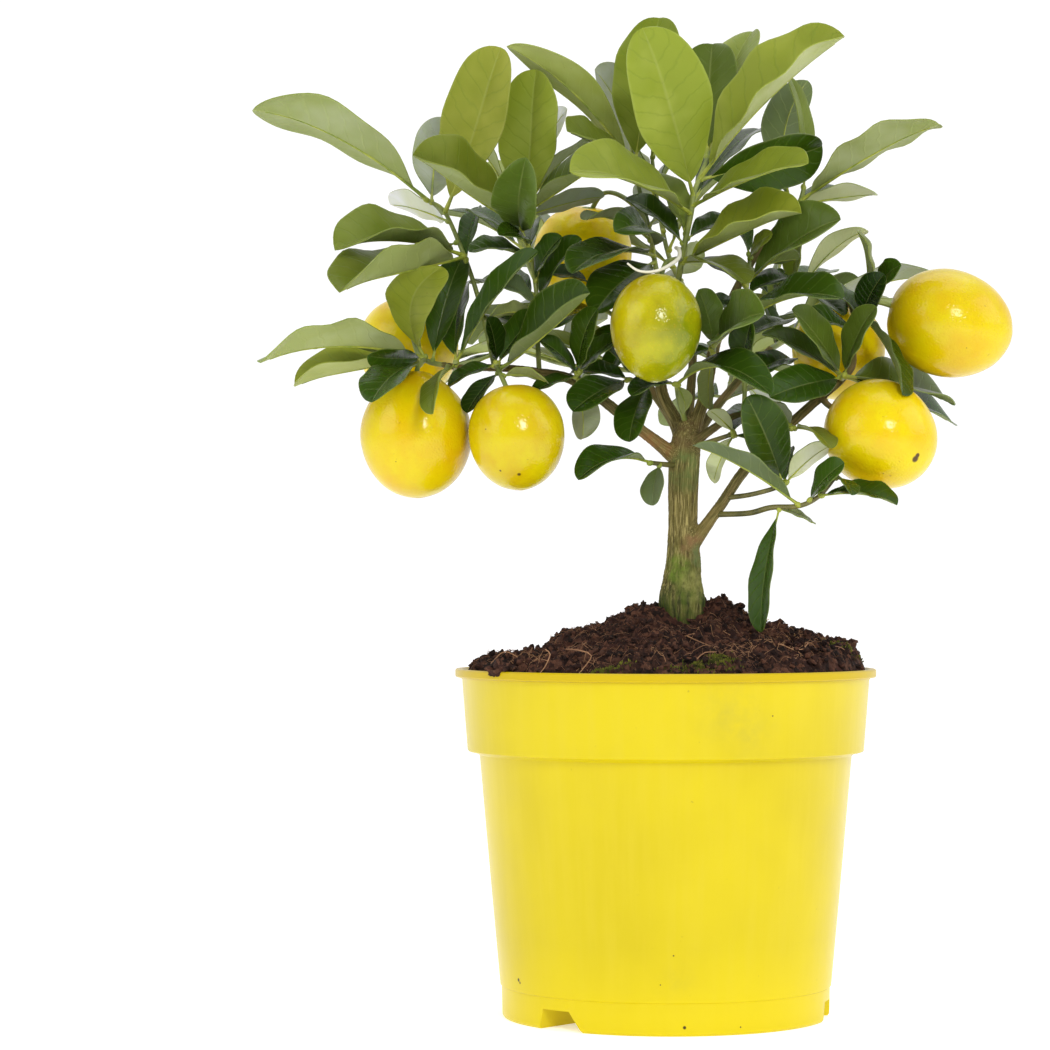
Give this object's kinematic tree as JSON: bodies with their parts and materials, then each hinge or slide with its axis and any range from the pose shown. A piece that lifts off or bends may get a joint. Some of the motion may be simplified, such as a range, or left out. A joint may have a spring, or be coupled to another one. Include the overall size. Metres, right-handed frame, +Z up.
{
  "type": "potted citrus tree",
  "caption": "Small bushy citrus tree in a round plastic nursery pot of peat, hung with ripe oval fruits; a standing plant that rests on its pot.",
  "frame": {"origin": "middle of the pot's flat underside, on the surface it stands on", "axes": "+Z up along the pot's axis, -Y towards the front of the plant, +X to its right"},
  "size_m": [0.2713, 0.1952, 0.3606],
  "materials": {
    "pot_plastic": "satin moulded",
    "peat": "loose crumbs",
    "bark": "fine fissured bark",
    "leaf": "waxy leaf",
    "peel": "waxy peel",
    "tie": "smooth"
  },
  "bodies": {
    "root": {"fruit_1": "peel", "fruit_2": "peel", "fruit_3": "peel", "fruit_4": "peel", "fruit_5": "peel", "fruit_6": "peel", "fruit_7": "peel", "fruit_8": "peel", "plant_tie": "tie", "pot": "pot_plastic", "shoot_back_left": "leaf", "shoot_back_low_left": "leaf", "shoot_back_low_right": "leaf", "shoot_back_middle": "leaf", "shoot_back_right": "leaf", "shoot_behind_left": "leaf", "shoot_fork": "leaf", "shoot_fork_right": "leaf", "shoot_inner_left": "leaf", "shoot_inner_right": "leaf", "shoot_left_end": "leaf", "shoot_left_limb": "leaf", "shoot_left_limb_end": "leaf", "shoot_left_middle": "leaf", "shoot_left_node": "leaf", "shoot_low_right": "leaf", "shoot_low_right_upper": "leaf", "shoot_middle": "leaf", "shoot_middle_left": "leaf", "shoot_right_behind": "leaf", "shoot_right_end": "leaf", "shoot_right_limb": "leaf", "shoot_right_limb_low": "leaf", "shoot_right_middle": "leaf", "shoot_right_top": "leaf", "shoot_top_left": "leaf", "shoot_trunk": "leaf", "soil": "peat", "trunk_and_limbs": "bark"}
  },
  "joints": []
}
